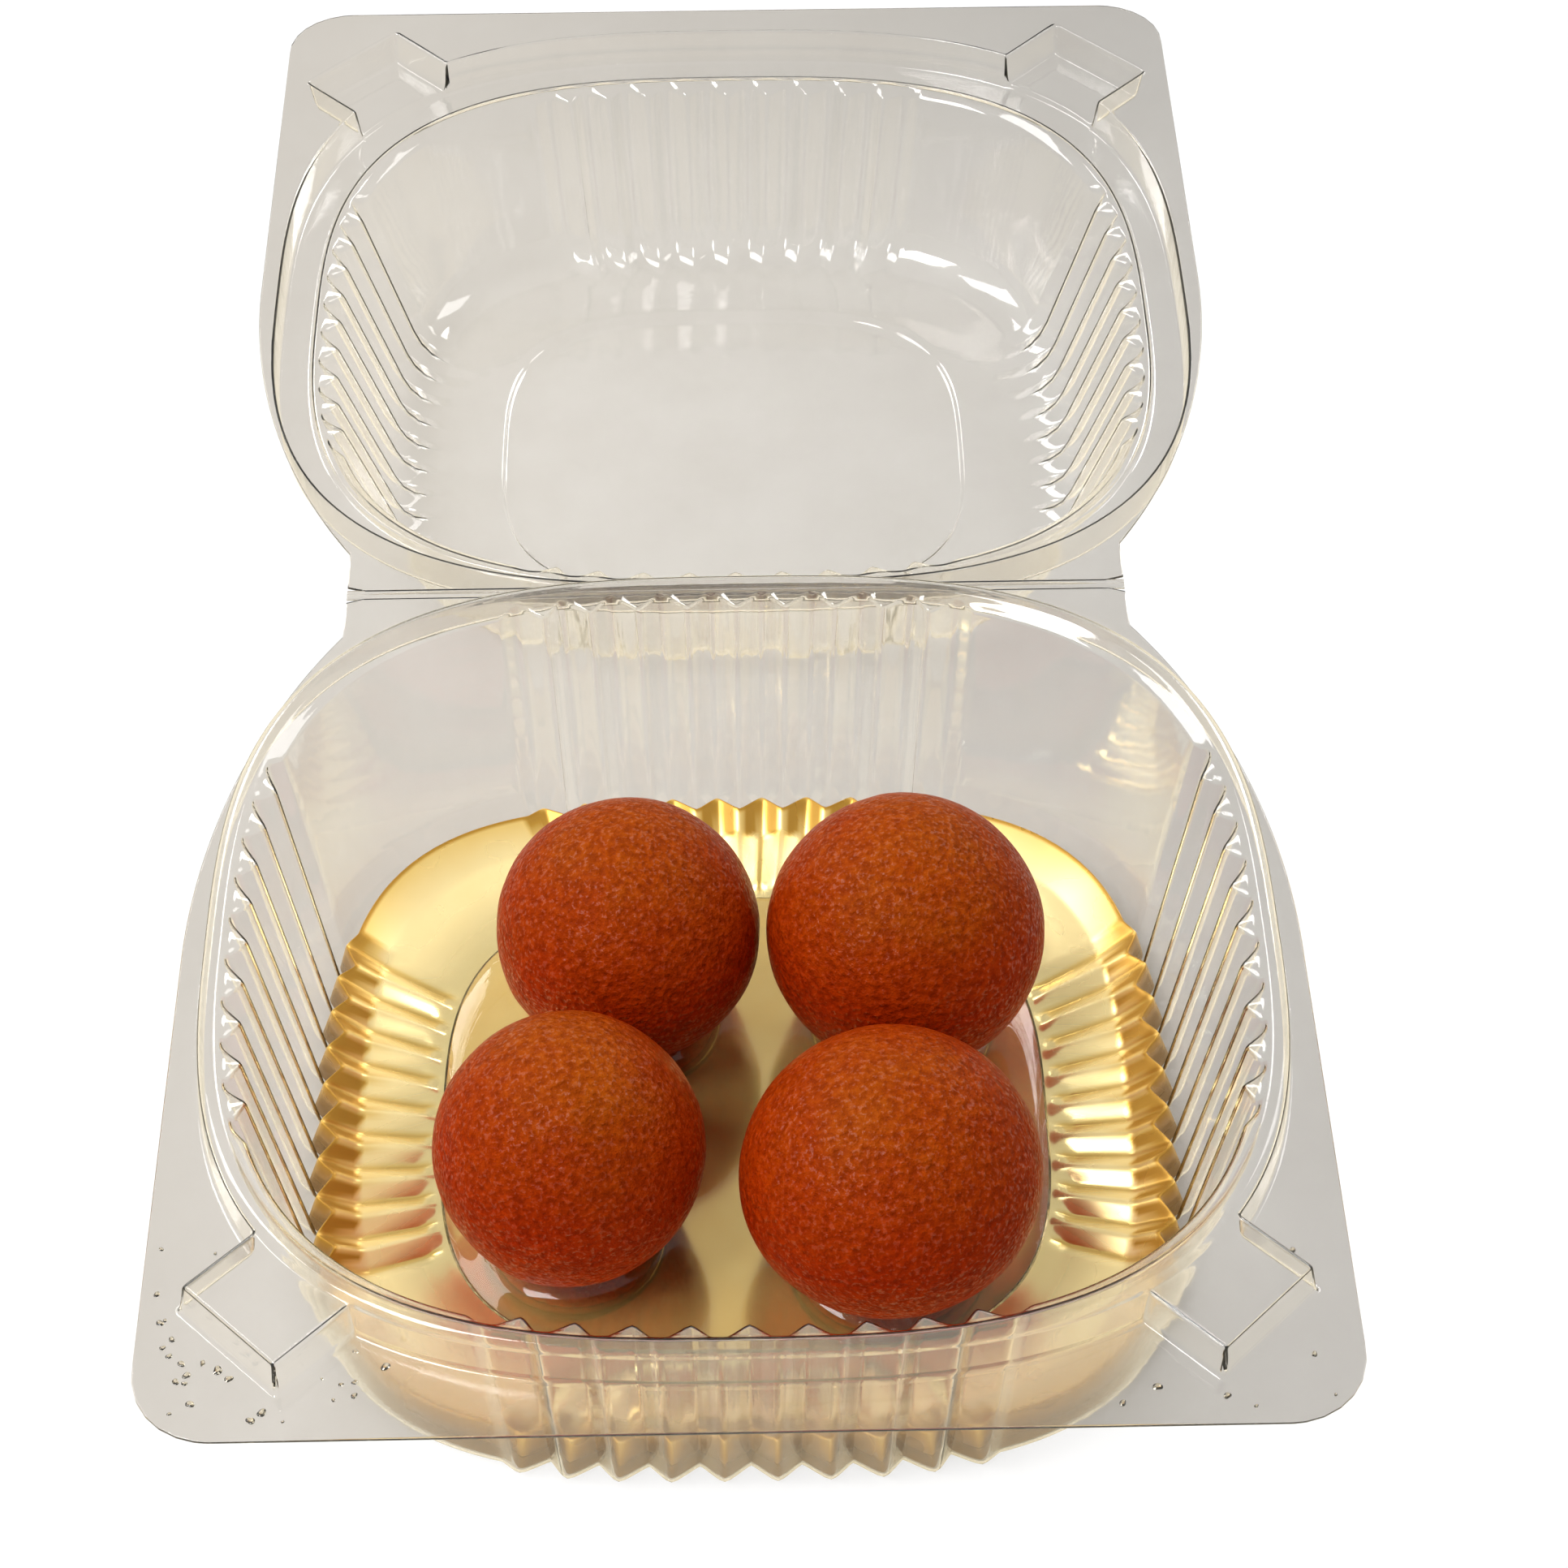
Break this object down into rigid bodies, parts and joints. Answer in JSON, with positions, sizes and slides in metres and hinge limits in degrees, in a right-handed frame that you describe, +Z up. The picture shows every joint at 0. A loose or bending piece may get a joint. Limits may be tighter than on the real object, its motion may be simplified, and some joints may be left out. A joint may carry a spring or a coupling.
{
  "type": "hinged sweet box",
  "caption": "Clear hinged takeaway box, opened flat, with round fried sweets in syrup on a fluted gold tray.",
  "frame": {"origin": "middle of the bowl's foot, on the surface that the box stands on", "axes": "+Z up; +Y from the front edge back to the hinge and the opened lid; +X to the right"},
  "size_m": [0.1524, 0.3022, 0.042],
  "materials": {
    "clear_plastic": "clear thermoformed sheet, glossy",
    "gold_plastic": "metallised gold plastic, mirror-like",
    "syrup": "clear sugar syrup, wet",
    "fried_crust": "fried milk dough soaked in syrup, finely grained with a soft wet sheen"
  },
  "bodies": {
    "base": {"base_shell": "clear_plastic", "base_hinge_leaf": "clear_plastic"},
    "lid": {"lid_shell": "clear_plastic", "lid_hinge_leaf": "clear_plastic"},
    "tray": {"gold_tray": "gold_plastic", "syrup_pool": "syrup"},
    "sweet_front_left": {"gulab_jamun_front_left": "fried_crust"},
    "sweet_front_right": {"gulab_jamun_front_right": "fried_crust"},
    "sweet_back_left": {"gulab_jamun_back_left": "fried_crust"},
    "sweet_back_right": {"gulab_jamun_back_right": "fried_crust"}
  },
  "joints": [
    {"name": "lid_hinge", "type": "hinge", "parent": "base", "child": "lid", "pos_m": [0, 0.0732, 0.03615], "axis": [1, 0, 0], "range_deg": [0, 180]},
    {"name": "tray_lift", "type": "slide", "parent": "base", "child": "tray", "axis": [0, 0, 1], "range_m": [0, 0.0115]},
    {"name": "front_left_lift", "type": "slide", "parent": "tray", "child": "sweet_front_left", "axis": [0, 0, 1], "range_m": [0, 0.018]},
    {"name": "front_right_lift", "type": "slide", "parent": "tray", "child": "sweet_front_right", "axis": [0, 0, 1], "range_m": [0, 0.018]},
    {"name": "back_left_lift", "type": "slide", "parent": "tray", "child": "sweet_back_left", "axis": [0, 0, 1], "range_m": [0, 0.018]},
    {"name": "back_right_lift", "type": "slide", "parent": "tray", "child": "sweet_back_right", "axis": [0, 0, 1], "range_m": [0, 0.018]}
  ]
}
